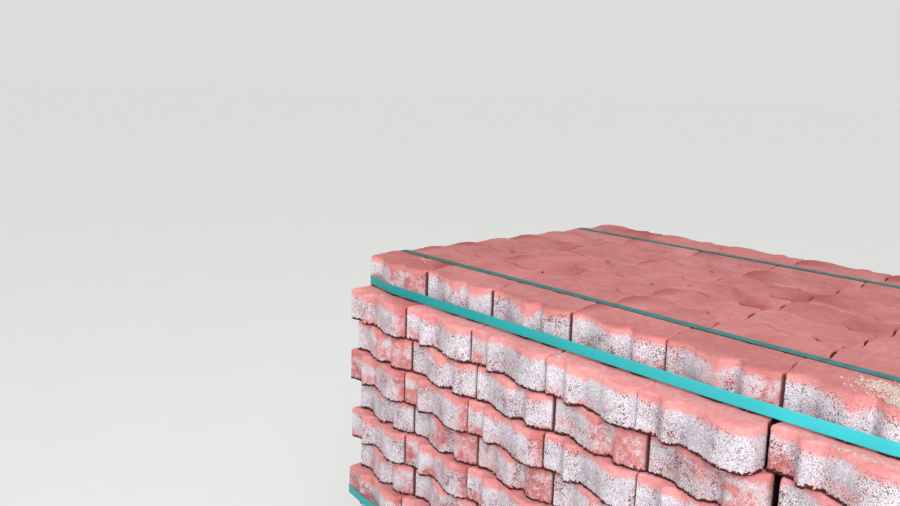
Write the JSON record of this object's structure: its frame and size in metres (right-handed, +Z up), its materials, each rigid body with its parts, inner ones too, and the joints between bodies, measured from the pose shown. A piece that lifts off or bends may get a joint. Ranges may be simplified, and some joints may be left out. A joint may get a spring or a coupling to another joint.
{
  "type": "pallet of interlocking concrete paving blocks",
  "caption": "Strapped wooden pallet of wave-shaped interlocking paving blocks, red on top and grey at the sides, stacked in turned layers.",
  "frame": {"origin": "middle of the pallet's footprint, on the floor under the bearers", "axes": "+X along the bearers and the long side of the blocks, +Y from the front to the back along the deck slats, +Z up"},
  "size_m": [1.2918, 1, 1.2033],
  "materials": {
    "bearer_timber": "rough sawn, stained, yellowish brown",
    "slat_timber": "rough sawn, weathered grey",
    "paver_concrete": "rough pressed concrete, red face layer on pinkish grey",
    "band_plastic": "smooth glossy teal green"
  },
  "bodies": {
    "root": {"bearer_front": "bearer_timber", "bearer_middle": "bearer_timber", "bearer_back": "bearer_timber", "deck_slat_1": "slat_timber", "deck_slat_2": "slat_timber", "deck_slat_3": "slat_timber", "deck_slat_4": "slat_timber", "deck_slat_5": "slat_timber", "deck_slat_6": "slat_timber", "deck_slat_7": "slat_timber", "paver_layer_01": "paver_concrete", "paver_layer_02": "paver_concrete", "paver_layer_03": "paver_concrete", "paver_layer_04": "paver_concrete", "paver_layer_05": "paver_concrete", "paver_layer_06": "paver_concrete", "paver_layer_07": "paver_concrete", "paver_layer_08": "paver_concrete", "paver_layer_09": "paver_concrete", "paver_layer_10": "paver_concrete", "paver_layer_11": "paver_concrete", "paver_layer_12": "paver_concrete", "paver_layer_13": "paver_concrete", "paver_layer_14": "paver_concrete", "paver_layer_15": "paver_concrete", "paver_layer_16": "paver_concrete", "band_round_upper": "band_plastic", "band_round_lower": "band_plastic", "band_over_front": "band_plastic", "band_over_back": "band_plastic"}
  },
  "joints": []
}
